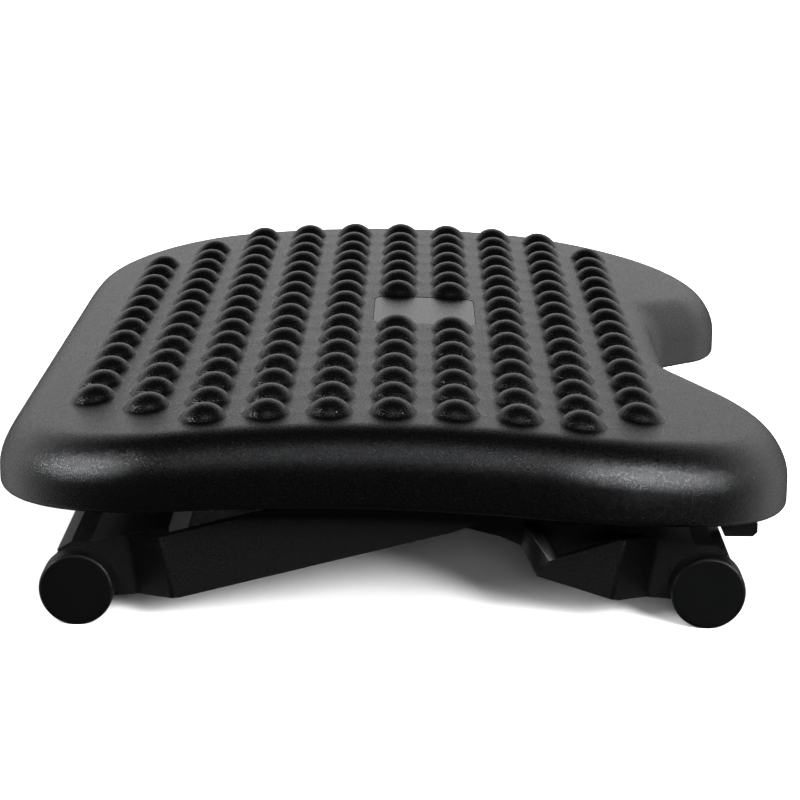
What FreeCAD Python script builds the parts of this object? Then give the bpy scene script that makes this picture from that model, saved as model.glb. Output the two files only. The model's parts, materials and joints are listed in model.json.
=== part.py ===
import FreeCAD, Part
import math
import os

from FreeCAD import Vector

# An under desk footrest: an arched, studded platform on two crossed leg frames.
# Each leg frame hangs on a steel rod under the platform and ends in a roller bar with rubber feet.
# Millimetres, +Z up. The origin is on the floor, under the middle of the platform.
# +Y runs along the footrest and +X points to the side with the notch.

# Platform outline and arch
platform_width = 353.5
platform_length = 475.7
left_side_lean = 6.2
left_lean_start = 143.3
left_lean_radius = 400.0
left_corner_radius = 86.0
shoulder_start_angle = 32.5
shoulder_long_radius = 139.0
shoulder_short_radius = 82.7
crown_offset = -13.5
crown_height = 91.0
crown_radius = 826.0
rim_depth = 33.2
rim_arch_offset = -29.7
rim_arch_radius = 1035.0
rim_top_radius = 18.6
rim_bottom_radius = 3.0
top_wall = 3.0
skirt_wall = 4.5

# Notch in the right side
notch_depth = 42.3
notch_floor_half_length = 56.8
notch_flank_angle = 35.75
notch_floor_radius = 40.0
notch_lobe_radius = 86.0

# Massage studs
stud_pitch = 27.0
stud_columns = 10
stud_rows = 16
stud_base_radius = 9.5
stud_height = 6.5
stud_wall = 3.0
stud_root = 2.0
studs_missing_at_ends = {0: 2, 1: 1, 9: 1}
stud_columns_at_label = (5, 6)

# Label plate in the middle of the top
label_offset = 27.0
label_width = 51.0
label_length = 62.0
label_corner_radius = 6.0
label_thickness = 1.0
label_sink = 0.2
label_gap = 0.3

# Ribs under the platform
rib_thickness = 2.5
rib_bottom_height = 76.0
rib_spacing_across = 30.0
rib_spacing_along = 85.0
rib_field_width = 110.0
rib_field_length = 380.0

# Leg frames, given for the one whose foot is on the right
foot_side_inset = 41.75
foot_end_inset = 18.85
foot_radius = 16.0
foot_flat = 0.2
foot_length = 11.5
foot_front_radius = 1.6
foot_back_radius = 0.8
hinge_inset = 55.0
hinge_height = 71.0
rod_radius = 5.0
eye_radius = 9.0
arm_half_height = 14.4
arm_thickness = 5.0
arm_taper_length = 55.0
arm_heel_length = 8.5
arm_heel_rise = 2.5
arm_heel_setback = 2.0
inner_arm_drop = 2.0
inner_arm_step = 14.0
inner_arm_flare_length = 20.0
inner_arm_flare_drop = 4.0
inner_heel_setback = 5.0
inner_heel_rise = 3.0
fold_angle = 10.9
height_settings = 3

# Hood over the roller, and the ears at its ends
hood_top_wall = 2.2
hood_lip_length = 6.1
hood_lip_drop = 3.6
hood_wall = 3.0
hood_width = 39.0
hood_wall_bottom = 14.0
ear_end_lift = 3.6
ear_knee_lift = 2.0
ear_overhang = 3.0
ear_flat_length = 8.3
ear_slope_length = 12.7
ear_shoulder_angle = 70.0
ear_radius = 13.0
ear_bottom = 9.5
ear_bottom_rise = 2.0
ear_wall = 4.0
jog_length = 16.0
jog_lean = 11.0
jog_edge_radius = 4.0

# Gusset on the stepped side of a leg frame
gusset_length = 37.3
gusset_shoulder_length = 32.3
gusset_tip_height = 23.4
gusset_shoulder_height = 30.2
gusset_top_length = 3.0
gusset_wall = 4.0
gusset_root_setback = 7.0
gusset_root_length = 8.0
gusset_root_rise = 8.0
gusset_root_drop = 3.0

# Roller
roller_radius = 14.0
roller_wall = 2.5
roller_end_gap = 1.0
roller_edge_radius = 0.8
axle_radius = 4.0
axle_fit = 0.05
bush_length = 16.0
bush_flange_thickness = 0.8
socket_depth = 8.0
axle_end_gap = 0.5

# Rod saddles and straps
saddle_width = 14.0
saddle_length = 34.0
saddle_arm_gap = 3.0
strap_depth = 8.5
strap_corner = 3.0
running_fit = 0.08
screw_spacing = 22.0
screw_radius = 1.5
screw_head_radius = 3.2
screw_head_height = 2.2
screw_length = 12.0
leaf_screw_length = 4.0
saddle_hole_depth = 7.0
screw_fit = 0.05
screw_play = 0.2
screw_slot_depth = 1.2
screw_slot_width = 0.8
screw_slot_length = 3.6
screw_sink = 0.2
clip_thickness = 1.0
clip_radius = 7.5
clip_gap = 0.2
rod_chamfer = 0.5

# Height latch
latch_gap = 2.0
quadrant_radius = 34.0
quadrant_thickness = 4.0
quadrant_hub_radius = 9.0
quadrant_hub_length = 12.0
quadrant_start_angle = 7.0
quadrant_end_angle = 36.0
detent_angle = 15.0
notch_bite = 1.6
notch_half_angle = 40.0
leaf_thickness = 0.8
leaf_width = 8.0
leaf_back = 5.5
leaf_nose_half_height = 5.5
leaf_nose_gap = 0.25
hook_gap = 0.4
hook_thickness = 2.5
hook_height = 4.5
finger_gap = 1.0
finger_thickness = 3.5
leaf_foot_length = 12.0
leaf_top_height = 72.6
leaf_bottom_height = 49.5
lever_thickness = 10.0
lever_pivot_inset = 16.5
lever_pivot_height = 66.0
lever_hub_radius = 5.0
lever_pin_radius = 2.0
cheek_thickness = 4.0
cheek_width = 10.0
cheek_gap = 0.5
tab_inset = 16.35
tab_width = 14.4
tab_bottom_height = 29.0
tab_end_height = 6.0
tab_chamfer = 2.0
tab_taper_width = 4.5
tab_taper_height = 16.0

# Rest stops between the platform and the arms
stop_reach = 30.0
stop_length = 12.0
stop_width = 8.0
stop_pad_thickness = 3.0
stop_gap = 0.3

# How far cutting shapes reach past what they cut, and how near an edge counts as found
overrun = 40.0
nudge = 1.0
edge_slack = 0.1

# Reaches from the middle that follow from the sizes above
foot_reach = platform_width / 2 - foot_side_inset
foot_end_reach = platform_length / 2 - foot_end_inset
hinge_reach = foot_reach - hinge_inset
hood_inner_reach = foot_reach - hood_width
jog_reach = hood_inner_reach + hood_wall
inner_arm_reach = foot_end_reach - inner_arm_step
ear_reach = foot_end_reach - foot_length
saddle_reach = inner_arm_reach - arm_thickness - saddle_arm_gap - saddle_width / 2
latch_reach = saddle_reach - saddle_width / 2 - latch_gap - quadrant_hub_length / 2
leaf_reach = hinge_reach + quadrant_radius + leaf_back
lever_pivot_reach = leaf_reach + lever_pivot_inset
tab_outer_reach = platform_width / 2 - tab_inset
foot_centre_height = foot_radius - foot_flat

ACROSS = Vector(0, 1, 0)
UP = Vector(0, 0, 1)
sky = crown_height + overrun


def box(x0, x1, y0, y1, z0, z1):
    return Part.makeBox(x1 - x0, y1 - y0, z1 - z0, Vector(x0, y0, z0))


def bar(x, z, radius, y0, y1):
    """A round bar along Y."""
    return Part.makeCylinder(radius, y1 - y0, Vector(x, y0, z), ACROSS)


def side_prism(points, y0, y1):
    """A flat outline in the XZ plane, pulled along Y."""
    corners = [Vector(x, y0, z) for x, z in points]
    wire = Part.makePolygon(corners + corners[:1])
    return Part.Face(wire).extrude(Vector(0, y1 - y0, 0))


def strip(path, thickness):
    """The outline of a bent strip: the path, and back along its right side with mitred corners."""
    normals = []
    for (x0, z0), (x1, z1) in zip(path, path[1:]):
        length = math.hypot(x1 - x0, z1 - z0)
        normals.append(((z1 - z0) / length, -(x1 - x0) / length))
    back = []
    for i, (x, z) in enumerate(path):
        ax, az = normals[max(i - 1, 0)]
        bx, bz = normals[min(i, len(normals) - 1)]
        scale = thickness / (1 + ax * bx + az * bz)
        back.append((x + (ax + bx) * scale, z + (az + bz) * scale))
    return path + back[::-1]


def joined(first, others):
    return first.multiFuse(others).removeSplitter()


def half_turn(shape):
    """The same piece for the other leg frame, turned half round about the vertical axis."""
    copy = shape.copy()
    copy.rotate(Vector(0, 0, 0), UP, 180)
    return copy


def rounded_outline(corners):
    """A closed wire of straight runs and tangent arcs. A corner with no radius stays sharp."""
    edges = []
    starts = []
    ends = []
    count = len(corners)
    for i, (x, y, radius) in enumerate(corners):
        here = Vector(x, y, 0)
        if not radius:
            starts.append(here)
            ends.append(here)
            continue
        before = Vector(*corners[i - 1][:2], 0) - here
        after = Vector(*corners[(i + 1) % count][:2], 0) - here
        before.normalize()
        after.normalize()
        half = before.getAngle(after) / 2
        reach = radius / math.tan(half)
        middle = before + after
        middle.normalize()
        near = here + middle * (radius / math.sin(half) - radius)
        starts.append(here + before * reach)
        ends.append(here + after * reach)
        edges.append(Part.Arc(starts[-1], near, ends[-1]).toShape())
    for i in range(count):
        run = ends[i - 1], starts[i]
        if run[0].distanceToPoint(run[1]) > 0.01:
            edges.append(Part.LineSegment(*run).toShape())
    return Part.Wire(Part.__sortEdges__(edges))


def platform_outline():
    right = platform_width / 2
    end = platform_length / 2
    first_turn = math.radians(shoulder_start_angle)
    second_turn = math.radians(90 - shoulder_start_angle)
    first_reach = shoulder_long_radius * math.tan(first_turn / 2)
    second_reach = shoulder_short_radius * math.tan(second_turn / 2)
    shoulder_x = right - (first_reach + second_reach) * math.cos(first_turn)
    lobe_y = end - (first_reach + second_reach) * math.sin(first_turn)
    notch_x = right - notch_depth
    flank_top = notch_floor_half_length + notch_depth / math.tan(math.radians(notch_flank_angle))
    upper = [
        (-right, left_lean_start, left_lean_radius),
        (-right + left_side_lean, end, left_corner_radius),
        (shoulder_x, end, shoulder_long_radius),
        (right, lobe_y, shoulder_short_radius),
        (right, flank_top, notch_lobe_radius),
        (notch_x, notch_floor_half_length, notch_floor_radius),
    ]
    lower = [(x, -y, radius) for x, y, radius in reversed(upper)]
    return rounded_outline(upper + lower)


def arch_bar(offset, top_height, radius):
    """A bar along the footrest whose top reaches a height at an offset from the middle."""
    reach = platform_length / 2 + overrun
    return bar(offset, top_height - radius, radius, -reach, reach)


def arch(drop):
    """The solid under the arched surface that lies this far below the top."""
    return arch_bar(crown_offset, crown_height - drop, crown_radius - drop)


def arch_height(x, drop=0.0):
    radius = crown_radius - drop
    return crown_height - crown_radius + math.sqrt(radius ** 2 - (x - crown_offset) ** 2)


def rim_height(x):
    """Height of the rim's bottom edge, which has a flatter arch of its own."""
    top = crown_height - rim_depth
    return top - rim_arch_radius + math.sqrt(rim_arch_radius ** 2 - (x - rim_arch_offset) ** 2)


def edges_at(shape, height):
    """The edges whose middle lies on a surface, given by its height at each X."""
    found = []
    for edge in shape.Edges:
        middle = edge.valueAt((edge.FirstParameter + edge.LastParameter) / 2)
        if abs(middle.z - height(middle.x)) < edge_slack:
            found.append(edge)
    return found


def arched_column(face, drop):
    """A plan outline pulled up from the floor to the arched surface."""
    return face.extrude(Vector(0, 0, sky)).common(arch(drop))


def stud_places():
    places = []
    for column in range(stud_columns):
        for row in range(stud_rows):
            from_end = min(row, stud_rows - 1 - row)
            if from_end < studs_missing_at_ends.get(column, 0):
                continue
            if column in stud_columns_at_label and from_end == stud_rows // 2 - 1:
                continue
            x = crown_offset + (column - (stud_columns - 1) / 2) * stud_pitch
            y = (row - (stud_rows - 1) / 2) * stud_pitch
            places.append((x, y))
    return places


def stud_caps(shrink, sink):
    """Ball caps on the arch, made smaller all round and reaching this far below the surface."""
    ball_radius = (stud_base_radius ** 2 + stud_height ** 2) / (2 * stud_height)
    radius = ball_radius - shrink
    lowest = math.degrees(math.asin((ball_radius - stud_height - sink) / radius))
    caps = []
    for x, y in stud_places():
        centre = Vector(x, y, arch_height(x) + stud_height - ball_radius)
        caps.append(Part.makeSphere(radius, centre, UP, lowest, 90))
    return caps


def label_face(gap):
    half_w = label_width / 2 - gap
    half_l = label_length / 2 - gap
    centre = crown_offset + label_offset
    radius = label_corner_radius - gap
    signs = [(-1, -1), (1, -1), (1, 1), (-1, 1)]
    corners = [(centre + sx * half_w, sy * half_l, radius) for sx, sy in signs]
    return Part.Face(rounded_outline(corners))


def label_plate():
    return arched_column(label_face(label_gap), label_sink).cut(arch(label_sink + label_thickness))


def rib_grid():
    ribs = []
    half = rib_thickness / 2
    half_w = rib_field_width / 2
    half_l = rib_field_length / 2
    lines = int(half_w // rib_spacing_across)
    for i in range(-lines, lines + 1):
        x = i * rib_spacing_across
        ribs.append(box(x - half, x + half, -half_l, half_l, rib_bottom_height, sky))
    lines = int(half_l // rib_spacing_along)
    for i in range(-lines, lines + 1):
        y = i * rib_spacing_along
        ribs.append(box(-half_w, half_w, y - half, y + half, rib_bottom_height, sky))
    return ribs


def strap_places():
    return (-saddle_reach, 0.0, saddle_reach)


def saddles():
    """Blocks under the platform that hold one hinge rod from above."""
    x = -hinge_reach
    blocks = []
    for y in strap_places():
        block = box(x - saddle_length / 2, x + saddle_length / 2, y - saddle_width / 2, y + saddle_width / 2,
                    hinge_height, sky)
        block = block.cut(bar(x, hinge_height, rod_radius + running_fit, y - saddle_width, y + saddle_width))
        for screw_x in strap_screw_reaches():
            start = Vector(screw_x, y, hinge_height)
            block = block.cut(Part.makeCylinder(screw_radius + screw_fit, saddle_hole_depth, start))
        blocks.append(block)
    return blocks


def arm_middle(x):
    rise = (hinge_height - foot_centre_height) / (hinge_reach + foot_reach)
    return foot_centre_height + (foot_reach - x) * rise


def arm_top(x):
    """Height of the top edge of a leg arm."""
    return arm_middle(x) + arm_half_height


def stop_column(x, y, bottom):
    return box(x - stop_length / 2, x + stop_length / 2, y - stop_width / 2, y + stop_width / 2, bottom, sky)


def stop_places():
    """Where one leg frame's two arms come to rest: X and the middle of each arm in Y."""
    half = arm_thickness / 2
    return (stop_reach, foot_end_reach - half), (stop_reach, half - inner_arm_reach)


def stop_posts():
    posts = []
    for x, y in stop_places():
        bottom = arm_top(x - stop_length / 2) + stop_gap + stop_pad_thickness
        posts.append(stop_column(x, y, bottom))
    return posts


def stop_pads():
    """Rubber pads under the posts, cut to the slope of the arm."""
    pads = []
    for x, y in stop_places():
        left = x - stop_length / 2
        right = x + stop_length / 2
        low_left = arm_top(left) + stop_gap
        low_right = arm_top(right) + stop_gap
        top = low_left + stop_pad_thickness
        points = [(left, top), (right, top), (right, low_right), (left, low_left)]
        pads.append(side_prism(points, y - stop_width / 2, y + stop_width / 2))
    return pads


def lever_cheeks():
    """Two ears under the platform that carry the far left release lever."""
    x = -lever_pivot_reach
    z = lever_pivot_height
    half = cheek_width / 2
    cheeks = []
    for side in (-1, 1):
        inner = latch_reach + side * (lever_thickness / 2 + cheek_gap)
        y0, y1 = sorted((inner, inner + side * cheek_thickness))
        cheek = box(x - half, x + half, y0, y1, z, sky).fuse(bar(x, z, half, y0, y1))
        cheeks.append(cheek.cut(bar(x, z, lever_pin_radius + screw_fit, y0 - nudge, y1 + nudge)))
    return cheeks


def leaf_post():
    right = -leaf_reach
    left = right - leaf_foot_length
    post = box(left, right, latch_reach - leaf_width / 2, latch_reach + leaf_width / 2, leaf_top_height, sky)
    start = Vector((left + right) / 2, latch_reach, leaf_top_height)
    hole = Part.makeCylinder(screw_radius + screw_fit, leaf_screw_length, start)
    return post.cut(hole)


def under_features():
    """Everything moulded on the inside of the platform, reaching up past the top."""
    features = rib_grid() + [leaf_post(), half_turn(leaf_post())]
    for maker in (saddles, stop_posts, lever_cheeks):
        features += maker()
        features += [half_turn(piece) for piece in maker()]
    return features


def platform_shell():
    outline = Part.Face(platform_outline())
    below_rim = arch_bar(rim_arch_offset, crown_height - rim_depth, rim_arch_radius)
    outer = arched_column(outline, 0).cut(below_rim)
    outer = outer.makeFillet(rim_top_radius, edges_at(outer, arch_height))
    outer = outer.makeFillet(rim_bottom_radius, edges_at(outer, rim_height))
    inner = arched_column(outline.makeOffset2D(-skirt_wall), top_wall)
    inner = inner.makeFillet(rim_top_radius - top_wall, edges_at(inner, lambda x: arch_height(x, top_wall)))
    inner = inner.multiFuse(stud_caps(stud_wall, top_wall + stud_root))
    inner = inner.cut(under_features())
    recess = label_face(0).extrude(Vector(0, 0, sky)).cut(arch(label_sink + label_thickness))
    return outer.multiFuse(stud_caps(0, stud_root)).cut([inner, recess])


# Leg frames


def ear_line():
    """The top edge of an ear in XZ, from its outer corner inwards."""
    edge_x = foot_reach + ear_overhang
    edge_z = arm_top(foot_reach) + ear_end_lift
    knee_x = edge_x - ear_flat_length - ear_slope_length
    return [
        (edge_x, edge_z),
        (edge_x - ear_flat_length, edge_z),
        (knee_x, arm_top(knee_x) + ear_knee_lift),
        (hood_inner_reach, arm_top(hood_inner_reach)),
    ]


def hood():
    """The crossbar over the roller: a bent top with a lip, and an inner wall."""
    path = ear_line()[::-1]
    edge_x, edge_z = path[-1]
    path.append((edge_x + hood_lip_length, edge_z - hood_lip_drop))
    top = side_prism(strip(path, hood_top_wall), -ear_reach, ear_reach)
    wall_points = [
        (hood_inner_reach, arm_top(hood_inner_reach)),
        (jog_reach, arm_top(jog_reach)),
        (jog_reach, hood_wall_bottom),
        (hood_inner_reach, hood_wall_bottom),
    ]
    return top.fuse(side_prism(wall_points, -ear_reach, ear_reach))


def ear(side):
    """The end wall that holds the roller's axle and the rubber foot."""
    y0, y1 = sorted((side * ear_reach, side * (ear_reach - ear_wall)))
    angle = math.radians(ear_shoulder_angle)
    lower = [
        (foot_reach + ear_radius * math.cos(angle), foot_centre_height + ear_radius * math.sin(angle)),
        (foot_reach, foot_centre_height),
        (foot_reach - ear_radius, ear_bottom),
        (hood_inner_reach, ear_bottom + ear_bottom_rise),
    ]
    plate = side_prism(ear_line()[::-1] + lower, y0, y1)
    plate = plate.fuse(bar(foot_reach, foot_centre_height, ear_radius, y0, y1))
    return plate.cut(bar(foot_reach, foot_centre_height, axle_radius + axle_fit, y0 - nudge, y1 + nudge))


def jog_wall(end_x, thickness, side):
    """The wall that leaves an ear's plane, jogs out and runs on in the outer plane. Its jog leans."""
    lean = math.tan(math.radians(jog_lean))
    shift = arm_top(jog_reach) * lean
    ear_x = jog_reach + jog_length
    line = [
        (ear_x + hood_wall, ear_reach, 0),
        (ear_x, ear_reach, jog_edge_radius),
        (jog_reach, foot_end_reach, jog_edge_radius),
        (end_x, foot_end_reach, 0),
    ]
    outer = [(x - shift, side * y, radius) for x, y, radius in line]
    inner = [(x - shift, side * (y - thickness), radius) for x, y, radius in reversed(line)]
    return Part.Face(rounded_outline(outer + inner)).extrude(Vector(sky * lean, 0, sky))


def outer_arm():
    """The arm that stays in the outer plane all the way to its hinge eye."""
    wall = jog_wall(-hinge_reach - overrun, arm_thickness, 1)
    return wall.common(arm_side(outer_arm_bottom()))


def arm_knee():
    """Where an arm starts to taper towards its hinge eye."""
    return arm_taper_length - hinge_reach


def arm_end():
    """Where an arm's side outline ends, inside the ear's wall."""
    return jog_reach + jog_length + hood_wall


def outer_arm_bottom():
    knee = arm_knee()
    heel = jog_reach - arm_heel_length
    return [
        (knee, arm_middle(knee) - arm_half_height),
        (heel, arm_middle(heel) - arm_half_height),
        (jog_reach - arm_heel_setback, ear_bottom + arm_heel_rise),
        (arm_end(), ear_bottom),
    ]


def inner_arm_bottom():
    knee = arm_knee()
    step = jog_reach - gusset_shoulder_length
    flare = step - inner_arm_flare_length
    return [
        (knee, arm_middle(knee) - inner_arm_drop),
        (flare, arm_middle(flare) - inner_arm_drop),
        (step, arm_middle(step) - inner_arm_drop - inner_arm_flare_drop),
        (jog_reach - inner_heel_setback, ear_bottom + inner_heel_rise),
        (arm_end(), ear_bottom),
    ]


def arm_side(bottom):
    """The side outline of an arm with this bottom edge, as a prism wide enough for either plane."""
    hinge_x = -hinge_reach
    knee = arm_knee()
    end = arm_end()
    top = [
        (end, arm_top(end) + ear_knee_lift),
        (jog_reach, arm_top(jog_reach)),
        (knee, arm_top(knee)),
        (hinge_x, hinge_height + eye_radius),
        (hinge_x, hinge_height - eye_radius),
    ]
    outline = side_prism(top + bottom, -foot_end_reach, foot_end_reach)
    return outline.fuse(bar(hinge_x, hinge_height, eye_radius, -foot_end_reach, foot_end_reach))


def gusset_corners():
    """The stepped side's outer plate in XZ: along the top, round the tip and along the bottom."""
    end = arm_end()
    return [
        (end, arm_top(end) + ear_knee_lift),
        (jog_reach, arm_top(jog_reach)),
        (jog_reach - gusset_top_length, arm_top(jog_reach)),
        (jog_reach - gusset_shoulder_length, gusset_shoulder_height),
        (jog_reach - gusset_length, gusset_tip_height),
        (jog_reach - arm_heel_setback, ear_bottom + arm_heel_rise),
        (end, ear_bottom),
    ]


def gusset_end():
    """The slanted wall from the gusset's tip back to the inner arm."""
    top_end, shoulder, tip, heel = gusset_corners()[2:6]
    below_shoulder = point_towards(shoulder, top_end, gusset_wall)
    beside_tip = point_towards(tip, heel, gusset_wall)
    left = tip[0] - gusset_root_setback
    right = left + gusset_root_length
    low = arm_middle(left) - gusset_root_drop
    high = arm_middle(left) + gusset_root_rise
    front = [tip, shoulder, below_shoulder, beside_tip]
    back = [(left, low), (left, high), (right, high), (right, low)]
    wires = []
    for points, y in ((front, -foot_end_reach), (back, nudge - inner_arm_reach)):
        corners = [Vector(x, y, z) for x, z in points]
        wires.append(Part.makePolygon(corners + corners[:1]))
    return Part.makeLoft(wires, True, True)


def point_towards(start, end, distance):
    length = math.dist(start, end)
    return tuple(a + (b - a) * distance / length for a, b in zip(start, end))


def inner_arm():
    """The arm that steps inwards to pass inside the other frame's arm."""
    y = -inner_arm_reach
    room = box(-hinge_reach - overrun, jog_reach, y, y + arm_thickness, 0, sky)
    arm = arm_side(inner_arm_bottom()).common(room)
    plate = jog_wall(jog_reach - gusset_length - overrun, gusset_wall, -1)
    plate = plate.common(side_prism(gusset_corners(), -foot_end_reach, -ear_reach + gusset_wall))
    return joined(arm, [plate, gusset_end()])


def leg_frame():
    """The frame whose foot is on the right: outer arm at the far side, stepped arm at the near side."""
    frame = joined(hood(), [ear(1), ear(-1), outer_arm(), inner_arm()])
    reach = foot_end_reach + nudge
    return frame.cut(bar(-hinge_reach, hinge_height, rod_radius + axle_fit, -reach, reach))


def round_edges(shape):
    return [edge for edge in shape.Edges if edge.Curve.TypeId == "Part::GeomCircle"]


def rod_ends():
    """Where the hinge rod ends: near and far, in Y."""
    beyond = clip_gap + clip_thickness
    return -inner_arm_reach - beyond, foot_end_reach + beyond


def hinge_rod():
    near, far = rod_ends()
    rod = bar(-hinge_reach, hinge_height, rod_radius, near, far)
    return rod.makeChamfer(rod_chamfer, round_edges(rod))


def rod_clips():
    near, far = rod_ends()
    clips = []
    for y in (near, far - clip_thickness):
        ring = bar(-hinge_reach, hinge_height, clip_radius, y, y + clip_thickness)
        bore = bar(-hinge_reach, hinge_height, rod_radius + axle_fit, y - nudge, y + clip_thickness + nudge)
        clips.append(ring.cut(bore))
    return Part.Compound(clips)


def height_quadrant():
    """A steel sector with one notch for each height, on a hub on the hinge rod."""
    x, z = -hinge_reach, hinge_height
    half = quadrant_thickness / 2
    points = [(x, z)]
    for turn in (quadrant_start_angle, quadrant_end_angle):
        angle = math.radians(180 + turn)
        points.append((x + 2 * quadrant_radius * math.cos(angle), z + 2 * quadrant_radius * math.sin(angle)))
    wedge = side_prism(points, latch_reach - half, latch_reach + half)
    sector = wedge.common(bar(x, z, quadrant_radius, latch_reach - half, latch_reach + half))
    cutters = []
    for i in range(height_settings):
        turn = detent_angle + fold_angle * i / (height_settings - 1)
        angle = math.radians(180 + turn)
        cutters.append(notch_cutter(x, z, angle))
    half_hub = quadrant_hub_length / 2
    hub = bar(x, z, quadrant_hub_radius, latch_reach - half_hub, latch_reach + half_hub)
    plate = sector.cut(cutters).fuse(hub).removeSplitter()
    return plate.cut(bar(x, z, rod_radius + axle_fit, latch_reach - overrun, latch_reach + overrun))


def notch_cutter(x, z, angle):
    out = Vector(math.cos(angle), 0, math.sin(angle))
    along = Vector(-math.sin(angle), 0, math.cos(angle))
    tip = Vector(x, 0, z) + out * (quadrant_radius - notch_bite)
    reach = 2 * notch_bite
    spread = along * (reach * math.tan(math.radians(notch_half_angle)))
    left = tip + out * reach + spread
    right = tip + out * reach - spread
    points = [(p.x, p.z) for p in (tip, left, right)]
    return side_prism(points, latch_reach - quadrant_thickness, latch_reach + quadrant_thickness)


def detent_leaf():
    """A bent steel leaf whose nose drops into the quadrant's notches."""
    line = -leaf_reach
    angle = math.radians(180 + detent_angle)
    nose_radius = quadrant_radius - notch_bite + leaf_nose_gap
    nose_x = -hinge_reach + nose_radius * math.cos(angle)
    nose_z = hinge_height + nose_radius * math.sin(angle)
    root_z = nose_z - (nose_x - line) * math.tan(math.radians(detent_angle))
    upper = root_z + leaf_nose_half_height
    lower = root_z - leaf_nose_half_height
    foot = line - leaf_foot_length
    top = leaf_top_height
    upright = [(line, top), (line, upper), (nose_x, nose_z), (line, lower), (line, leaf_bottom_height)]
    path = [(foot, top)] + upright
    half = leaf_width / 2
    leaf = side_prism(strip(path, leaf_thickness), latch_reach - half, latch_reach + half)
    start = Vector(foot + leaf_foot_length / 2, latch_reach, top - 2 * leaf_thickness)
    return leaf.cut(Part.makeCylinder(screw_radius + screw_play, 3 * leaf_thickness, start))


def screw(x, y, head_z, length):
    """A pan head screw that points up, with a cross slot."""
    head = Part.makeCylinder(screw_head_radius, screw_head_height, Vector(x, y, head_z))
    rim = [edge for edge in round_edges(head) if edge.BoundBox.ZMax < head_z + edge_slack]
    head = head.makeFillet(screw_head_height / 2, rim)
    shank = Part.makeCylinder(screw_radius, length, Vector(x, y, head_z + screw_head_height))
    long = screw_slot_length / 2
    wide = screw_slot_width / 2
    top = head_z + screw_slot_depth
    slot = box(x - long, x + long, y - wide, y + wide, head_z - nudge, top)
    slot = slot.fuse(box(x - wide, x + wide, y - long, y + long, head_z - nudge, top))
    return head.fuse(shank).cut(slot)


def hinge_straps():
    """Straps that close the saddles from below, each with two screw pockets."""
    x = -hinge_reach
    low = hinge_height - strap_depth
    half = saddle_width / 2
    straps = []
    for y in strap_places():
        strap = box(x - saddle_length / 2, x + saddle_length / 2, y - half, y + half, low, hinge_height)
        corners = []
        for edge in strap.Edges:
            if edge.BoundBox.ZMax < low + edge_slack and edge.BoundBox.XLength < edge_slack:
                corners.append(edge)
        strap = strap.makeChamfer(strap_corner, corners)
        strap = strap.cut(bar(x, hinge_height, rod_radius + running_fit, y - saddle_width, y + saddle_width))
        for screw_x in strap_screw_reaches():
            start = Vector(screw_x, y, low - nudge)
            through = Part.makeCylinder(screw_radius + screw_play, strap_depth + 2 * nudge, start)
            pocket_depth = screw_sink + screw_head_height
            pocket = Part.makeCylinder(screw_head_radius + screw_play, pocket_depth + nudge, start)
            strap = strap.cut([through, pocket])
        straps.append(strap)
    return Part.Compound(straps)


def strap_screw_reaches():
    return -hinge_reach - screw_spacing / 2, -hinge_reach + screw_spacing / 2


def strap_screws():
    head_z = hinge_height - strap_depth + screw_sink
    return [screw(x, y, head_z, screw_length) for y in strap_places() for x in strap_screw_reaches()]


def leaf_screw():
    x = -leaf_reach - leaf_foot_length / 2
    head_top = leaf_top_height - leaf_thickness
    return screw(x, latch_reach, head_top - screw_head_height, leaf_screw_length)


def lever_outline():
    """The far left release lever in XZ: a hook for the leaf, a hub and the tab that hangs out."""
    hook = hook_gap - leaf_reach
    pivot = -lever_pivot_reach
    finger_top = leaf_bottom_height - finger_gap
    finger_bottom = finger_top - finger_thickness
    return [
        (hook + hook_thickness, finger_top + hook_height),
        (hook, finger_top + hook_height),
        (hook, finger_top),
        (pivot + lever_hub_radius, finger_top),
        (pivot + lever_hub_radius, lever_pivot_height),
        (pivot - lever_hub_radius, lever_pivot_height),
        (-tab_outer_reach + tab_taper_width, tab_bottom_height + tab_taper_height),
        (-tab_outer_reach, tab_bottom_height + tab_end_height),
        (-tab_outer_reach, tab_bottom_height + tab_chamfer),
        (-tab_outer_reach + tab_chamfer, tab_bottom_height),
        (-tab_outer_reach + tab_width, tab_bottom_height),
        (pivot - lever_hub_radius / 2, finger_bottom),
        (hook + hook_thickness, finger_bottom),
    ]


def release_lever():
    y0 = latch_reach - lever_thickness / 2
    y1 = latch_reach + lever_thickness / 2
    x, z = -lever_pivot_reach, lever_pivot_height
    body = side_prism(lever_outline(), y0, y1).fuse(bar(x, z, lever_hub_radius, y0, y1)).removeSplitter()
    return body.cut(bar(x, z, lever_pin_radius + running_fit, y0, y1))


def lever_pin():
    half = lever_thickness / 2 + cheek_gap + cheek_thickness
    x, z = -lever_pivot_reach, lever_pivot_height
    return bar(x, z, lever_pin_radius, latch_reach - half, latch_reach + half)


def rubber_foot(side):
    """A round rubber foot with a softly rounded front and a small worn flat where it stands."""
    z = foot_centre_height
    front = side * foot_end_reach
    y0, y1 = sorted((side * ear_reach, front))
    foot = bar(foot_reach, z, foot_radius, y0, y1)
    for y, radius in ((front, foot_front_radius), (side * ear_reach, foot_back_radius)):
        rim = [edge for edge in round_edges(foot) if abs(edge.BoundBox.YMax - y) < edge_slack]
        foot = foot.makeFillet(radius, rim)
    bore0, bore1 = sorted((side * (ear_reach - nudge), side * (ear_reach + socket_depth)))
    foot = foot.cut(bar(foot_reach, z, axle_radius + axle_fit, bore0, bore1))
    below = box(foot_reach - foot_radius, foot_reach + foot_radius, y0 - nudge, y1 + nudge, -foot_radius, 0)
    return foot.cut(below)


def roller_axle():
    reach = ear_reach + socket_depth - axle_end_gap
    return bar(foot_reach, foot_centre_height, axle_radius, -reach, reach)


def roller_half_length():
    return ear_reach - ear_wall - roller_end_gap


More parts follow.
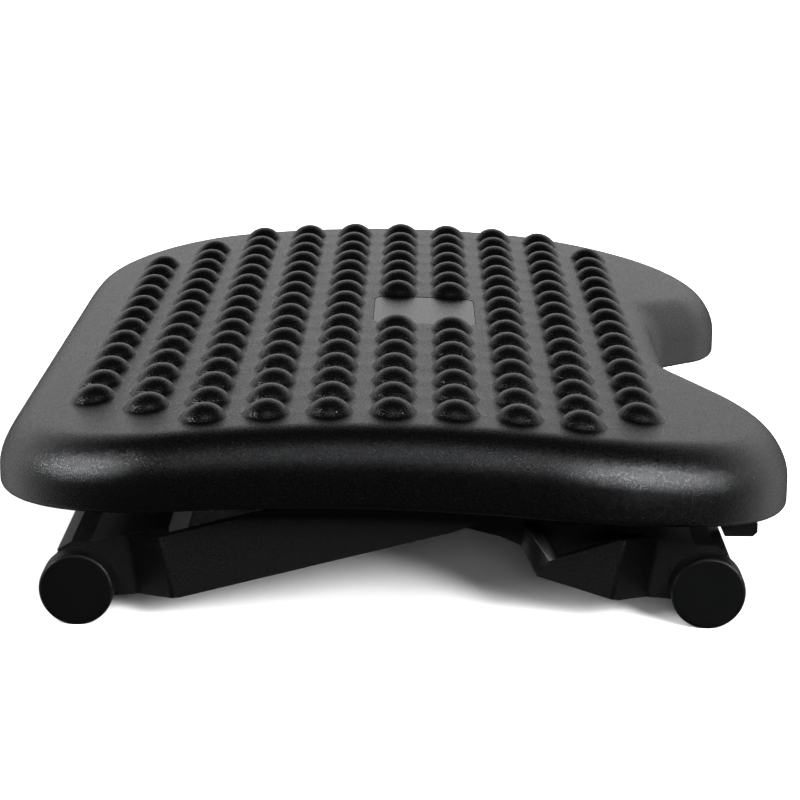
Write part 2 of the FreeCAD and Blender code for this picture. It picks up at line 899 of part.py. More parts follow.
def roller_tube():
    half = roller_half_length() - bush_flange_thickness
    z = foot_centre_height
    tube = bar(foot_reach, z, roller_radius, -half, half)
    tube = tube.makeFillet(roller_edge_radius, round_edges(tube))
    return tube.cut(bar(foot_reach, z, roller_radius - roller_wall, -half - nudge, half + nudge))


def roller_bushes():
    half = roller_half_length()
    z = foot_centre_height
    bushes = []
    for side in (-1, 1):
        y0, y1 = sorted((side * half, side * (half - bush_length)))
        plug = bar(foot_reach, z, roller_radius - roller_wall - axle_fit, y0, y1)
        f0, f1 = sorted((side * half, side * (half - bush_flange_thickness)))
        flange = bar(foot_reach, z, roller_radius - roller_edge_radius, f0, f1)
        bush = plug.fuse(flange).removeSplitter()
        bushes.append(bush.cut(bar(foot_reach, z, axle_radius + running_fit, y0 - nudge, y1 + nudge)))
    return Part.Compound(bushes)


def export(shape, name):
    solids = shape.Solids
    for solid in solids:
        if not solid.isValid():
            print("not valid:", name)
    whole = solids[0] if len(solids) == 1 else Part.Compound(solids)
    whole.exportStep("parts/" + name + ".step")
    print(name, len(solids), "solids", round(whole.Volume / 1000, 2), "cm3")


def main():
    os.makedirs("parts", exist_ok=True)
    export(platform_shell(), "platform_shell")
    export(label_plate(), "label_plate")
    screws = strap_screws() + [leaf_screw()]
    export(Part.Compound(screws + [half_turn(piece) for piece in screws]), "platform_screws")
    pads = stop_pads()
    export(Part.Compound(pads + [half_turn(pad) for pad in pads]), "rest_stop_pads")
    leg_pieces = {
        "leg_frame": leg_frame,
        "hinge_rod": hinge_rod,
        "rod_clips": rod_clips,
        "height_quadrant": height_quadrant,
        "roller_axle": roller_axle,
        "roller_tube": roller_tube,
        "roller_bushes": roller_bushes,
        "hinge_straps": hinge_straps,
        "detent_leaf": detent_leaf,
        "release_lever": release_lever,
        "lever_pin": lever_pin,
    }
    for name, maker in leg_pieces.items():
        piece = maker()
        export(piece, "right_" + name)
        export(half_turn(piece), "left_" + name)
    for side, mirror_side in (("near", "far"), ("far", "near")):
        foot = rubber_foot(-1 if side == "near" else 1)
        export(foot, side + "_right_foot")
        export(half_turn(foot), mirror_side + "_left_foot")


main()
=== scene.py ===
import json
import math

import bmesh
import bpy
from mathutils import Matrix, Vector
from mathutils.bvhtree import BVHTree
from mathutils.geometry import delaunay_2d_cdt

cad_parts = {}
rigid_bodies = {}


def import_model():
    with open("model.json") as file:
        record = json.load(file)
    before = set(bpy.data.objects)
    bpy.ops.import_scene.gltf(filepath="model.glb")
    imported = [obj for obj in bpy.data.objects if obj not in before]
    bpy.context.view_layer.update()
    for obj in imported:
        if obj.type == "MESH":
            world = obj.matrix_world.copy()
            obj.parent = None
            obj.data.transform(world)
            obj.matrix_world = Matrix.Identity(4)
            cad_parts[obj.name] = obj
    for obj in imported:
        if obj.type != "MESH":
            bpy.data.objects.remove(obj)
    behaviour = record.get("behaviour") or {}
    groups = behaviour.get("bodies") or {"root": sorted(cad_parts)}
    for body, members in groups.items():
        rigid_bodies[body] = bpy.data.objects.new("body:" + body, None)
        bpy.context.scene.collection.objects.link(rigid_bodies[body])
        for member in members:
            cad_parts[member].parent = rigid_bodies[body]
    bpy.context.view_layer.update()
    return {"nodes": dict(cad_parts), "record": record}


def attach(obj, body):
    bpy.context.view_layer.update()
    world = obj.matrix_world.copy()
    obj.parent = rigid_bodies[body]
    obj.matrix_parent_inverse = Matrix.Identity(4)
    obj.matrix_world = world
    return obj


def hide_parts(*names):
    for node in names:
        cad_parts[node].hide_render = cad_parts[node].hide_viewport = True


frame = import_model()
nodes = frame["nodes"]

# Platform outline, as in the solids; lengths in metres
WIDTH = 0.3535
LENGTH = 0.4757
LEAN = 0.0062
LEAN_START = 0.1433
LEAN_RADIUS = 0.400
LEFT_CORNER = 0.086
SHOULDER_ANGLE = math.radians(32.5)
SHOULDER_LONG = 0.139
SHOULDER_SHORT = 0.0827
NOTCH_DEPTH = 0.0423
NOTCH_HALF = 0.0568
NOTCH_ANGLE = math.radians(35.75)
NOTCH_FLOOR_RADIUS = 0.040
NOTCH_LOBE_RADIUS = 0.086

# Arch and rim, as in the solids
CROWN_X = -0.0135
CROWN_Z = 0.091
CROWN_RADIUS = 0.826
RIM_DEPTH = 0.0332
RIM_X = -0.0297
RIM_RADIUS = 1.035
RIM_TOP_RADIUS = 0.0186
RIM_BOTTOM_RADIUS = 0.003
SKIRT_WALL = 0.0045

# Studs, a little wider and lower than in the solids
STUD_PITCH = 0.027
STUD_COLUMNS = 10
STUD_ROWS = 16
STUD_RADIUS = 0.0103
STUD_HEIGHT = 0.0063
STUD_BLEND = 0.0008
STUDS_MISSING_AT_ENDS = {0: 2, 1: 1, 9: 1}
LABEL_COLUMNS = (5, 6)

# Label recess
LABEL_X = CROWN_X + STUD_PITCH
LABEL_HALF_WIDTH = 0.0255
LABEL_HALF_LENGTH = 0.031
LABEL_CORNER = 0.006
LABEL_DEPTH = 0.0012

# Fineness of the skin's mesh
OUTLINE_STEP = 0.0025
LABEL_STEP = 0.0015
RIM_TOP_STEPS = 14
RIM_BOTTOM_STEPS = 6
STUD_SIDES = 28
STUD_RINGS = 9
SKIN_GRID = 0.006
EDGE_CLEARANCE = SKIN_GRID * 0.6
STUD_CLEARANCE = SKIN_GRID * 0.35
LABEL_CLEARANCE = 0.002
TRIANGLES_INSIDE = 1
TRIANGLE_TOLERANCE = 1e-7
MERGE_DISTANCE = 1e-5
SMOOTH_ANGLE = 40

# Shares of the blend's width and height for each ring of a stud's foot
FOOT_RINGS = ((1.0, 0.0), (0.55, 0.10), (0.22, 0.35))

# Share of its half angle at which a stud's ball starts, and share of its foot's radius cut from the top
BALL_START = 0.93
STUD_CUT = 0.985

# A CAD face this near the skin and turned the same way is hidden by the skin
SKIN_REACH = 0.0025
SAME_WAY = 0.3


def arch_z(x, drop=0.0):
    """Height of the arched surface that lies this far below the top."""
    radius = CROWN_RADIUS - drop
    return CROWN_Z - CROWN_RADIUS + math.sqrt(radius ** 2 - (x - CROWN_X) ** 2)


def rim_z(x):
    """Height of the rim's bottom edge, which has a flatter arch of its own."""
    return CROWN_Z - RIM_DEPTH - RIM_RADIUS + math.sqrt(RIM_RADIUS ** 2 - (x - RIM_X) ** 2)


def rounded_loop(corners, step):
    """Points and outward normals along a closed outline of straight runs and tangent arcs."""
    loop = []
    count = len(corners)
    arcs = []
    for i, (x, y, radius) in enumerate(corners):
        here = Vector((x, y))
        before = (Vector(corners[i - 1][:2]) - here).normalized()
        after = (Vector(corners[(i + 1) % count][:2]) - here).normalized()
        half = before.angle(after) / 2
        reach = radius / math.tan(half)
        centre = here + (before + after).normalized() * (radius / math.sin(half))
        arcs.append((here + before * reach, here + after * reach, centre, radius))
    for i, (start, end, centre, radius) in enumerate(arcs):
        first_angle = math.atan2(*(start - centre).yx)
        last_angle = math.atan2(*(end - centre).yx)
        turn = (last_angle - first_angle + math.pi) % (2 * math.pi) - math.pi
        pieces = max(3, round(abs(turn) * radius / step))
        outward = 1 if turn > 0 else -1
        for k in range(pieces + 1):
            angle = first_angle + turn * k / pieces
            ray = Vector((math.cos(angle), math.sin(angle)))
            loop.append((centre + ray * radius, ray * outward))
        run = arcs[(i + 1) % count][0] - end
        pieces = round(run.length / step)
        side = Vector((run.y, -run.x)).normalized()
        for k in range(1, pieces):
            loop.append((end + run * (k / pieces), side))
    return loop


def platform_corners():
    """Corners of the platform's outline with their radii, anticlockwise, the same on both sides of y = 0."""
    right = WIDTH / 2
    end = LENGTH / 2
    first = SHOULDER_LONG * math.tan(SHOULDER_ANGLE / 2)
    second = SHOULDER_SHORT * math.tan((math.pi / 2 - SHOULDER_ANGLE) / 2)
    shoulder_x = right - (first + second) * math.cos(SHOULDER_ANGLE)
    lobe_y = end - (first + second) * math.sin(SHOULDER_ANGLE)
    flank_top = NOTCH_HALF + NOTCH_DEPTH / math.tan(NOTCH_ANGLE)
    upper = [
        (-right, LEAN_START, LEAN_RADIUS),
        (-right + LEAN, end, LEFT_CORNER),
        (shoulder_x, end, SHOULDER_LONG),
        (right, lobe_y, SHOULDER_SHORT),
        (right, flank_top, NOTCH_LOBE_RADIUS),
        (right - NOTCH_DEPTH, NOTCH_HALF, NOTCH_FLOOR_RADIUS),
    ]
    lower = [(x, -y, radius) for x, y, radius in reversed(upper)]
    return (upper + lower)[::-1]


def label_outline():
    signs = ((-1, -1), (1, -1), (1, 1), (-1, 1))
    corners = [(LABEL_X + i * LABEL_HALF_WIDTH, j * LABEL_HALF_LENGTH, LABEL_CORNER) for i, j in signs]
    return [point for point, _ in rounded_loop(corners, LABEL_STEP)]


def rim_profile():
    """Inset, drop below the arched top and rise above the rim's bottom arch, for each ring of the rim.

    A ring of the upper part hangs from the top, one of the lower part stands on the bottom arch.
    """
    rings = []
    for k in range(RIM_TOP_STEPS + 1):
        angle = math.pi / 2 * k / RIM_TOP_STEPS
        rings.append((RIM_TOP_RADIUS * (1 - math.sin(angle)), RIM_TOP_RADIUS * (1 - math.cos(angle)), None))
    for k in range(RIM_BOTTOM_STEPS, 0, -1):
        angle = math.pi / 2 * k / RIM_BOTTOM_STEPS
        rise = RIM_BOTTOM_RADIUS * (1 - math.cos(angle))
        rings.append((RIM_BOTTOM_RADIUS * (1 - math.sin(angle)), None, rise))
    rings.append((RIM_BOTTOM_RADIUS, None, 0.0))
    rings.append((SKIRT_WALL, None, 0.0))
    return rings


def stud_places():
    """Centres of the studs, without the blank places at the corners and on the label."""
    places = []
    for column in range(STUD_COLUMNS):
        for row in range(STUD_ROWS):
            from_end = min(row, STUD_ROWS - 1 - row)
            if from_end < STUDS_MISSING_AT_ENDS.get(column, 0):
                continue
            if column in LABEL_COLUMNS and from_end == STUD_ROWS // 2 - 1:
                continue
            x = CROWN_X + (column - (STUD_COLUMNS - 1) / 2) * STUD_PITCH
            y = (row - (STUD_ROWS - 1) / 2) * STUD_PITCH
            places.append((x, y))
    return places


def stud_profile():
    """Radius and height of each ring of a stud, from its blended foot to its top."""
    ball = (STUD_RADIUS ** 2 + STUD_HEIGHT ** 2) / (2 * STUD_HEIGHT)
    start = math.asin(STUD_RADIUS / ball) * BALL_START
    rings = [(STUD_RADIUS + STUD_BLEND * out, STUD_BLEND * up) for out, up in FOOT_RINGS]
    for k in range(STUD_RINGS):
        angle = start * (1 - k / STUD_RINGS)
        rings.append((ball * math.sin(angle), STUD_HEIGHT - ball * (1 - math.cos(angle))))
    return rings


def stud_circle(centre, radius):
    """Points round a stud, seen from above."""
    x, y = centre
    angles = [2 * math.pi * k / STUD_SIDES for k in range(STUD_SIDES)]
    return [(x + radius * math.cos(angle), y + radius * math.sin(angle)) for angle in angles]


def inside(x, y, outline):
    """Whether a point lies inside a closed outline, by counting the sides that a ray crosses."""
    hit = False
    for (x0, y0), (x1, y1) in zip(outline, outline[-1:] + outline[:-1]):
        if (y0 > y) != (y1 > y) and x < (x1 - x0) * (y - y0) / (y1 - y0) + x0:
            hit = not hit
    return hit


def near_any(x, y, points, distance):
    return any((x - a) ** 2 + (y - b) ** 2 < distance ** 2 for a, b in points)


def filler_points(outline, studs, foot_radius):
    """Points for the top skin, inside its outline and clear of its edge, the studs and the label."""
    points = []
    low_x = min(x for x, _ in outline)
    low_y = min(y for _, y in outline)
    columns = int((max(x for x, _ in outline) - low_x) / SKIN_GRID)
    rows = int((max(y for _, y in outline) - low_y) / SKIN_GRID)
    for i in range(1, columns):
        for j in range(1, rows):
            x = low_x + i * SKIN_GRID
            y = low_y + (j + 0.5 * (i % 2)) * SKIN_GRID
            if not inside(x, y, outline):
                continue
            if near_any(x, y, outline, EDGE_CLEARANCE):
                continue
            if near_any(x, y, studs, foot_radius + STUD_CLEARANCE):
                continue
            beside_label = abs(x - LABEL_X) < LABEL_HALF_WIDTH + LABEL_CLEARANCE
            if beside_label and abs(y) < LABEL_HALF_LENGTH + LABEL_CLEARANCE:
                continue
            points.append(Vector((x, y)))
    return points


def join_rings(bm, rings):
    for a, b in zip(rings, rings[1:]):
        count = len(a)
        for k in range(count):
            bm.faces.new((a[k], a[(k + 1) % count], b[(k + 1) % count], b[k]))


def add_face(bm, corners):
    """Adds a face, unless two of its corners are the same vertex or the face is there already."""
    try:
        bm.faces.new(corners)
    except ValueError:
        pass


def add_rim(bm):
    """The rim from the top's edge to the inside of its wall. Its first ring is the edge of the top."""
    rings = []
    loop = rounded_loop(platform_corners(), OUTLINE_STEP)
    for inset, drop, rise in rim_profile():
        ring = []
        for point, normal in loop:
            p = point - normal * inset
            z = rim_z(p.x) + rise if drop is None else arch_z(p.x, drop)
            ring.append(bm.verts.new((p.x, p.y, z)))
        rings.append(ring)
    join_rings(bm, rings)
    return rings[0]


def add_stud(bm, centre, foot):
    rings = [foot]
    for radius, height in stud_profile()[1:]:
        rings.append([bm.verts.new((x, y, arch_z(x) + height)) for x, y in stud_circle(centre, radius)])
    join_rings(bm, rings)
    top = bm.verts.new((*centre, arch_z(centre[0]) + STUD_HEIGHT))
    last = rings[-1]
    for k in range(STUD_SIDES):
        bm.faces.new((last[k], last[(k + 1) % STUD_SIDES], top))


def add_label_recess(bm, edge):
    bottom = [bm.verts.new((v.co.x, v.co.y, arch_z(v.co.x, LABEL_DEPTH))) for v in edge]
    join_rings(bm, [edge, bottom])
    bm.faces.new(bottom)


def platform_skin():
    """The outer skin of the platform as one mesh: rim, top, studs and label recess."""
    bm = bmesh.new()
    edge = add_rim(bm)
    studs = stud_places()
    foot_radius = stud_profile()[0][0]
    label = label_outline()
    holes = [[Vector(point) for point in stud_circle(centre, foot_radius)] for centre in studs]
    holes.append(label)

    points = [Vector(v.co.xy) for v in edge]
    outline = [(p.x, p.y) for p in points]
    sides = []
    starts = []
    for hole in holes:
        first = len(points)
        starts.append(first)
        points += hole
        sides += [(first + k, first + (k + 1) % len(hole)) for k in range(len(hole))]
    points += filler_points(outline, studs, foot_radius)
    boundary = [list(range(len(edge)))]
    placed, _, faces, sources, _, _ = delaunay_2d_cdt(
        points, sides, boundary, TRIANGLES_INSIDE, TRIANGLE_TOLERANCE)

    by_source = {}
    verts = []
    for point, origins in zip(placed, sources):
        if origins and origins[0] < len(edge):
            vert = edge[origins[0]]
        else:
            vert = bm.verts.new((point.x, point.y, arch_z(point.x)))
        verts.append(vert)
        for origin in origins:
            by_source[origin] = vert

    label_edge = [(p.x, p.y) for p in label]
    for face in faces:
        x = sum(placed[i].x for i in face) / len(face)
        y = sum(placed[i].y for i in face) / len(face)
        if near_any(x, y, studs, foot_radius * STUD_CUT) or inside(x, y, label_edge):
            continue
        add_face(bm, [verts[i] for i in face])

    for centre, start in zip(studs, starts):
        add_stud(bm, centre, [by_source[start + k] for k in range(STUD_SIDES)])
    add_label_recess(bm, [by_source[starts[-1] + k] for k in range(len(label))])
    bmesh.ops.recalc_face_normals(bm, faces=bm.faces)
    return bm


def add_cad_inside(bm, source, skin):
    """Adds the faces of a CAD node's mesh that lie clear of the new skin, which are its inner faces."""
    added = {}
    for polygon in source.data.polygons:
        _, normal, _, distance = skin.find_nearest(polygon.center)
        if distance < SKIN_REACH and polygon.normal.dot(normal) > SAME_WAY:
            continue
        for i in polygon.vertices:
            if i not in added:
                added[i] = bm.verts.new(source.data.vertices[i].co)
        add_face(bm, [added[i] for i in polygon.vertices])


def new_object(name, bm):
    mesh = bpy.data.meshes.new(name)
    bm.to_mesh(mesh)
    bm.free()
    thing = bpy.data.objects.new(name, mesh)
    bpy.context.scene.collection.objects.link(thing)
    return thing


def platform_cover():
    """The platform with its new skin outside and the CAD node's ribs and posts inside."""
    bm = platform_skin()
    skin = BVHTree.FromBMesh(bm)
    add_cad_inside(bm, nodes["platform_shell"], skin)
    bmesh.ops.remove_doubles(bm, verts=bm.verts, dist=MERGE_DISTANCE)
    cover = new_object("platform_cover", bm)
    cover.data.shade_smooth()
    cover.data.set_sharp_from_angle(angle=math.radians(SMOOTH_ANGLE))
    cover.data.materials.append(material_for("platform_plastic"))
    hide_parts("platform_shell")
    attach(cover, "platform")


# Materials

# Dark and light shade, lowest and highest roughness, grain cells per metre, grain depth in metres, gloss
PLASTICS = {
    "platform_plastic": ((0.008, 0.008, 0.009), (0.012, 0.012, 0.013), (0.24, 0.33), 2300.0, 0.00011, 0.5),
    "label_plastic": ((0.040, 0.040, 0.042), (0.046, 0.046, 0.048), (0.22, 0.30), 3000.0, 0.00002, 0.8),
    "frame_plastic": ((0.005, 0.005, 0.005), (0.008, 0.008, 0.008), (0.34, 0.46), 2100.0, 0.00009, 0.4),
    "lever_plastic": ((0.014, 0.014, 0.015), (0.020, 0.020, 0.021), (0.38, 0.50), 2000.0, 0.00008, 0.5),
    "roller_plastic": ((0.012, 0.012, 0.012), (0.018, 0.018, 0.018), (0.40, 0.55), 1800.0, 0.00010, 0.5),
    "bush_plastic": ((0.020, 0.020, 0.020), (0.026, 0.026, 0.026), (0.40, 0.50), 2200.0, 0.00006, 0.5),
}

# Dark and light shade, lowest and highest roughness
STEELS = {
    "pin_steel": ((0.42, 0.43, 0.44), (0.60, 0.61, 0.62), (0.25, 0.42)),
    "spring_steel": ((0.12, 0.12, 0.13), (0.22, 0.22, 0.23), (0.30, 0.45)),
    "screw_steel": ((0.08, 0.08, 0.085), (0.16, 0.16, 0.165), (0.30, 0.50)),
}

RUBBER_DARK = (0.004, 0.004, 0.004)
RUBBER_LIGHT = (0.008, 0.008, 0.008)
RUBBER_ROUGH = (0.42, 0.56)
RUBBER_GLOSS = 0.35
FLOOR_DARK = (0.93, 0.93, 0.93)
FLOOR_LIGHT = (0.95, 0.95, 0.95)
FLOOR_ROUGH = 0.8
FLOOR_GLOSS = 0.1

# Streaks per metre along x, y and z; the rods and axles lie along y
STEEL_STRETCH = (900.0, 40.0, 900.0)

# A plastic's finer grain and its patches of gloss, as multiples of its grain
FINER_GRAIN = 1.9
GLOSS_PATCHES = 0.5

# Rounds along the sharp edges of these mouldings, in metres
SOFT_EDGES = {"frame_plastic": 0.0006, "lever_plastic": 0.0006}
WELD_DISTANCE = 0.00001
BEVEL_ANGLE = 20
BEVEL_SEGMENTS = 3

made_materials = {}


class Graph:
    """Short helpers for building a node tree."""

    def __init__(self, tree):
        self.tree = tree
        self.tree.nodes.clear()

    def add(self, kind, **values):
        node = self.tree.nodes.new(kind)
        for key, value in values.items():
            if key in node.inputs:
                node.inputs[key].default_value = value
            else:
                setattr(node, key, value)
        return node

    def link(self, a, b):
        self.tree.links.new(a, b)

    def spread(self, value, low, high, to_low=0.0, to_high=1.0, ease="LINEAR"):
        node = self.add("ShaderNodeMapRange", interpolation_type=ease)
        self.link(value, node.inputs["Value"])
        for key, number in zip(("From Min", "From Max", "To Min", "To Max"), (low, high, to_low, to_high)):
            node.inputs[key].default_value = number
        return node.outputs[0]

    def combine(self, operation, *values):
        node = self.add("ShaderNodeMath", operation=operation)
        for value, socket in zip(values, node.inputs):
            self.link(value, socket)
        return node.outputs[0]


class Surface(Graph):
    """A material with one shader, whose textures keep to the object's own coordinates."""

    def __init__(self, name):
        self.material = bpy.data.materials.new(name)
        self.material.use_nodes = True
        super().__init__(self.material.node_tree)
        self.shader = self.add("ShaderNodeBsdfPrincipled")
        self.link(self.shader.outputs[0], self.add("ShaderNodeOutputMaterial").inputs["Surface"])
        self.coords = self.add("ShaderNodeTexCoord").outputs["Object"]

    def noise(self, scale, detail=2.0):
        node = self.add("ShaderNodeTexNoise", Scale=scale, Detail=detail)
        self.link(self.coords, node.inputs["Vector"])
        return node.outputs[0]

    def cells(self, scale):
        node = self.add("ShaderNodeTexVoronoi", Scale=scale)
        self.link(self.coords, node.inputs["Vector"])
        return node.outputs["Distance"]

    def bump(self, height, strength, distance, before=None):
        node = self.add("ShaderNodeBump", Strength=strength, Distance=distance)
        self.link(height, node.inputs["Height"])
        if before is not None:
            self.link(before, node.inputs["Normal"])
        return node.outputs[0]

    def paint(self, pattern, dark, light):
        node = self.add("ShaderNodeMix", data_type="RGBA")
        self.link(pattern, node.inputs[0])
        node.inputs[6].default_value = (*dark, 1)
        node.inputs[7].default_value = (*light, 1)
        self.link(node.outputs[2], self.shader.inputs["Base Color"])

    def feed(self, value, name):
        self.link(value, self.shader.inputs[name])

    def fix(self, name, value):
        self.shader.inputs[name].default_value = value


def grained_plastic(name, dark, light, rough, grain, depth, gloss):
    """Moulded plastic with a fine spark-eroded grain, a little uneven in colour and gloss."""
    surface = Surface(name)
    surface.paint(surface.spread(surface.noise(scale=18.0, detail=3.0), low=0.35, high=0.65), dark, light)
    surface.feed(surface.spread(surface.noise(grain * GLOSS_PATCHES), 0.3, 0.7, *rough), "Roughness")
    coarse = surface.bump(surface.cells(grain), strength=0.8, distance=depth)
    fine = surface.bump(surface.cells(grain * FINER_GRAIN), strength=0.5, distance=depth / 2, before=coarse)
    surface.feed(fine, "Normal")
    surface.fix("Specular IOR Level", gloss)
    return surface.material


def rubber(name):
    surface = Surface(name)
    mottle = surface.spread(surface.noise(scale=60.0, detail=4.0), low=0.35, high=0.65)
    surface.paint(mottle, RUBBER_DARK, RUBBER_LIGHT)
    grain = surface.noise(scale=2600.0)
    surface.feed(surface.spread(grain, 0.3, 0.7, *RUBBER_ROUGH), "Roughness")
    surface.feed(surface.bump(grain, strength=0.35, distance=0.00006), "Normal")
    surface.fix("Specular IOR Level", RUBBER_GLOSS)
    return surface.material


def steel(name, dark, light, rough):
    """Drawn or rolled steel, with fine streaks along its length."""
    surface = Surface(name)
    stretch = surface.add("ShaderNodeMapping", Scale=STEEL_STRETCH)
    surface.link(surface.coords, stretch.inputs["Vector"])
    texture = surface.add("ShaderNodeTexNoise", Scale=1.0, Detail=4.0)
    surface.link(stretch.outputs[0], texture.inputs["Vector"])
    streaks = texture.outputs[0]
    surface.paint(surface.spread(streaks, low=0.3, high=0.7), dark, light)
    surface.feed(surface.spread(streaks, 0.3, 0.7, *rough), "Roughness")
    surface.feed(surface.bump(streaks, strength=0.15, distance=0.00003), "Normal")
    surface.fix("Metallic", 1.0)
    return surface.material


def floor_white():
    surface = Surface("floor_white")
    surface.paint(surface.spread(surface.noise(scale=3.0), low=0.3, high=0.7), FLOOR_DARK, FLOOR_LIGHT)
    surface.fix("Roughness", FLOOR_ROUGH)
    surface.fix("Specular IOR Level", FLOOR_GLOSS)
    return surface.material


def material_for(slot_name):
    """The material of a slot, made when it is first asked for."""
    if slot_name not in made_materials:
        if slot_name in PLASTICS:
            made = grained_plastic(slot_name, *PLASTICS[slot_name])
        elif slot_name in STEELS:
            made = steel(slot_name, *STEELS[slot_name])
        else:
            made = rubber(slot_name)
        made_materials[slot_name] = made
    return made_materials[slot_name]


def soften_edges(thing, width):
    """Small rounds along a moulding's sharp edges."""
    weld = thing.modifiers.new("weld", "WELD")
    weld.merge_threshold = WELD_DISTANCE
    bevel = thing.modifiers.new("rounds", "BEVEL")
    bevel.width = width
    bevel.segments = BEVEL_SEGMENTS
    bevel.limit_method = "ANGLE"
    bevel.angle_limit = math.radians(BEVEL_ANGLE)
    bevel.use_clamp_overlap = True
    bevel.harden_normals = True


def dress_cad_nodes():
    """Gives every CAD node the material of its slot, and soft edges where its slot has them."""
    slots = {row["node"]: row["material_slot"] for row in frame["record"]["subparts"]}
    for name, thing in nodes.items():
        slot_name = slots[name]
        thing.data.materials.clear()
        thing.data.materials.append(material_for(slot_name))
        if slot_name in SOFT_EDGES:
            soften_edges(thing, SOFT_EDGES[slot_name])


# Room, lights and camera

FLOOR_HALF = 6.0
FLOOR_SQUARES = 8

# Limits are components of a direction: y for the near side, z for top and bottom, x for the sides
BACKDROP_LEVEL = 1.14
BACKDROP_NEAR = (-0.3, 0.6)
BACKDROP_TOP = (0.3, 0.62)
BACKDROP_BOTTOM = (-0.02, 0.08)
BACKDROP_SIDES = (0.4, 0.7)
SIDES_LEVEL = 0.8
ROOM_LEVEL = 0.05

# Turn from the front, elevation and width in degrees, and strength, of the suns that light the floor
FLOOR_SUNS = {
    "floor_top": (0, 90, 90, 2.6),
    "floor_front": (33, 27, 20, 5.6),
    "floor_low": (0, 17, 22, 0.8),
    "floor_left": (-62, 36, 50, 4.2),
    "floor_right": (62, 36, 50, 4.4),
}

SOFTBOX_TINT = (0.94, 0.96, 1.0)
NARROW_BEAM = 14
WIDE_BEAM = 180
NEAR_END = (0, -0.22, 0.06)
NEAR_LEFT_CORNER = (-0.12, -0.235, 0.07)
NEAR_RIGHT_CORNER = (0.11, -0.235, 0.07)

# Place, target, width and height in metres, power in watts, and beam in degrees
SOFTBOXES = {
    "left_softbox": ((-1.33, -0.54, 0.68), NEAR_LEFT_CORNER, (0.36, 0.22), 0.22, NARROW_BEAM),
    "right_softbox": ((1.1, -1.0, 0.58), NEAR_RIGHT_CORNER, (0.36, 0.22), 0.33, NARROW_BEAM),
    "front_softbox": ((0.15, -1.1, 1.0), NEAR_END, (0.5, 0.2), 3.0, WIDE_BEAM),
}
LEG_LIGHT = ((0.1, -1.12, 0.95), NEAR_END, (2.0, 0.8), 66.0, WIDE_BEAM)
LEG_NODES = ("left_leg_frame", "right_leg_frame")

# The photograph's camera; angles in degrees, lens and sensor in millimetres
CAMERA_PLACE = (0.0112, -1.19512, 0.35526)
CAMERA_YAW = 0.473
CAMERA_PITCH = 14.6275
CAMERA_ROLL = 0.213
CAMERA_LENS = 108.754
CAMERA_SENSOR = 36.0


def floor():
    """A plain pale floor, which the object's surfaces neither mirror nor take light from."""
    bm = bmesh.new()
    bmesh.ops.create_grid(bm, x_segments=FLOOR_SQUARES, y_segments=FLOOR_SQUARES, size=FLOOR_HALF)
    ground = new_object("floor", bm)
    ground.data.materials.append(floor_white())
    ground.visible_glossy = False
    ground.visible_diffuse = False
    return ground


def world():
    """A white backdrop low behind the object, reaching below the horizon at the sides only.

    The room is dark overhead and behind the camera, which itself sees white all round.
    """
    studio = bpy.data.worlds.new("studio")
    studio.use_nodes = True
    graph = Graph(studio.node_tree)
    direction = graph.add("ShaderNodeSeparateXYZ")
    graph.link(graph.add("ShaderNodeTexCoord").outputs["Generated"], direction.inputs[0])
    x, y, z = direction.outputs
    smooth = "SMOOTHSTEP"
    behind = graph.spread(y, *BACKDROP_NEAR, ease=smooth)
    low = graph.spread(z, *BACKDROP_TOP, 1.0, 0.0, ease=smooth)
    above = graph.spread(z, *BACKDROP_BOTTOM, ease=smooth)
    beside = graph.spread(graph.combine("ABSOLUTE", x), *BACKDROP_SIDES, 0.0, SIDES_LEVEL, ease=smooth)
    either = graph.combine("MAXIMUM", above, beside)
    lit_part = graph.combine("MULTIPLY", graph.combine("MULTIPLY", behind, low), either)
    level = graph.spread(lit_part, 0.0, 1.0, ROOM_LEVEL, BACKDROP_LEVEL, ease=smooth)
    lit = graph.add("ShaderNodeBackground")
    graph.link(level, lit.inputs["Strength"])
    seen = graph.add("ShaderNodeBackground", Color=(1, 1, 1, 1))
    choice = graph.add("ShaderNodeMixShader")
    graph.link(graph.add("ShaderNodeLightPath").outputs["Is Camera Ray"], choice.inputs[0])
    graph.link(lit.outputs[0], choice.inputs[1])
    graph.link(seen.outputs[0], choice.inputs[2])
    graph.link(choice.outputs[0], graph.add("ShaderNodeOutputWorld").inputs["Surface"])
    bpy.context.scene.world = studio


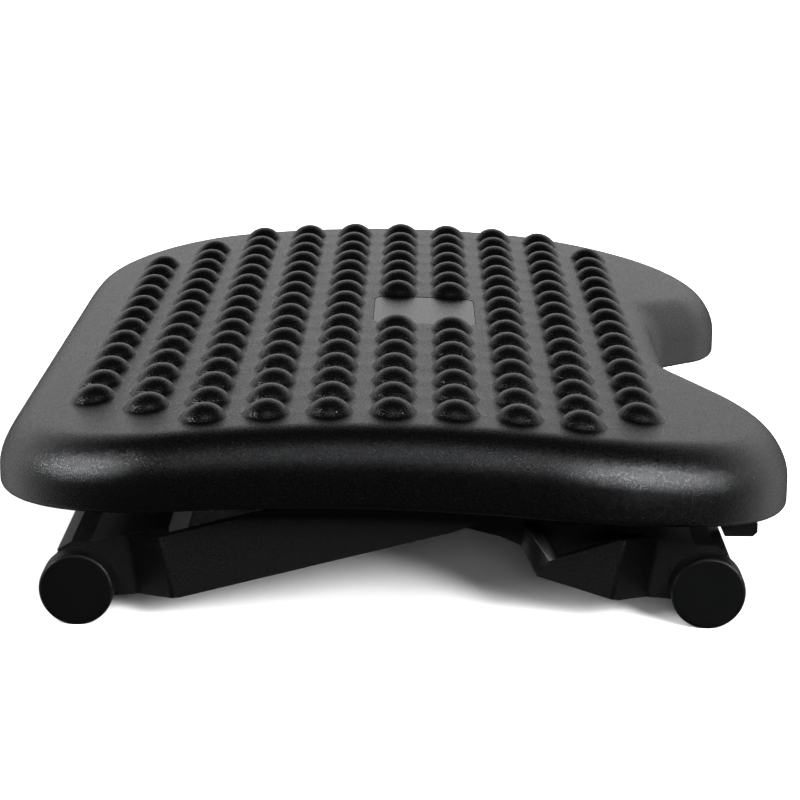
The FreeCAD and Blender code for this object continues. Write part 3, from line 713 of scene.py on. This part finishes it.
def area_light(name, receivers, place, target, size, power, beam):
    """A softbox that shows only as a reflection, on the objects that receive it."""
    light = bpy.data.lights.new(name, "AREA")
    light.shape = "RECTANGLE"
    light.size, light.size_y = size
    light.energy = power
    light.color = SOFTBOX_TINT
    light.spread = math.radians(beam)
    thing = bpy.data.objects.new(name, light)
    thing.location = place
    thing.rotation_euler = (Vector(target) - Vector(place)).to_track_quat("-Z", "Y").to_euler()
    thing.visible_camera = False
    thing.visible_diffuse = False
    bpy.context.scene.collection.objects.link(thing)
    thing.light_linking.receiver_collection = receivers


def floor_sun(name, receivers, turn, elevation, width, strength):
    """A wide, far light that only the floor receives. Its turn is measured from the front."""
    light = bpy.data.lights.new(name, "SUN")
    light.angle = math.radians(width)
    light.energy = strength
    thing = bpy.data.objects.new(name, light)
    thing.rotation_euler = (math.radians(90 - elevation), 0, math.radians(turn))
    bpy.context.scene.collection.objects.link(thing)
    thing.light_linking.receiver_collection = receivers


def lights(ground):
    """Suns for the floor, softboxes for the highlights on the near rim, and a light for the legs."""
    only_floor = bpy.data.collections.new("lit_floor")
    only_floor.objects.link(ground)
    for name, values in FLOOR_SUNS.items():
        floor_sun(name, only_floor, *values)

    legs = bpy.data.collections.new("lit_legs")
    others = bpy.data.collections.new("lit_others")
    for thing in bpy.context.scene.objects:
        if thing.name in LEG_NODES:
            legs.objects.link(thing)
        elif thing.type == "MESH" and thing is not ground and thing.name != "label_plate":
            others.objects.link(thing)
    for name, values in SOFTBOXES.items():
        area_light(name, others, *values)
    area_light("front_of_legs", legs, *LEG_LIGHT)


def camera():
    yaw = math.radians(CAMERA_YAW)
    pitch = math.radians(CAMERA_PITCH)
    roll = math.radians(CAMERA_ROLL)
    forward = Vector((-math.sin(yaw) * math.cos(pitch), math.cos(yaw) * math.cos(pitch), -math.sin(pitch)))
    right = Vector((math.cos(yaw), math.sin(yaw), 0))
    up = right.cross(forward)
    turned_right = right * math.cos(roll) + up * math.sin(roll)
    turned_up = up * math.cos(roll) - right * math.sin(roll)
    data = bpy.data.cameras.new("camera")
    data.lens = CAMERA_LENS
    data.sensor_width = CAMERA_SENSOR
    thing = bpy.data.objects.new("camera", data)
    basis = Matrix((turned_right, turned_up, -forward)).transposed()
    thing.matrix_world = Matrix.Translation(CAMERA_PLACE) @ basis.to_4x4()
    bpy.context.scene.collection.objects.link(thing)
    bpy.context.scene.camera = thing


bpy.context.scene.view_settings.view_transform = "Standard"
dress_cad_nodes()
platform_cover()
world()
lights(floor())
camera()
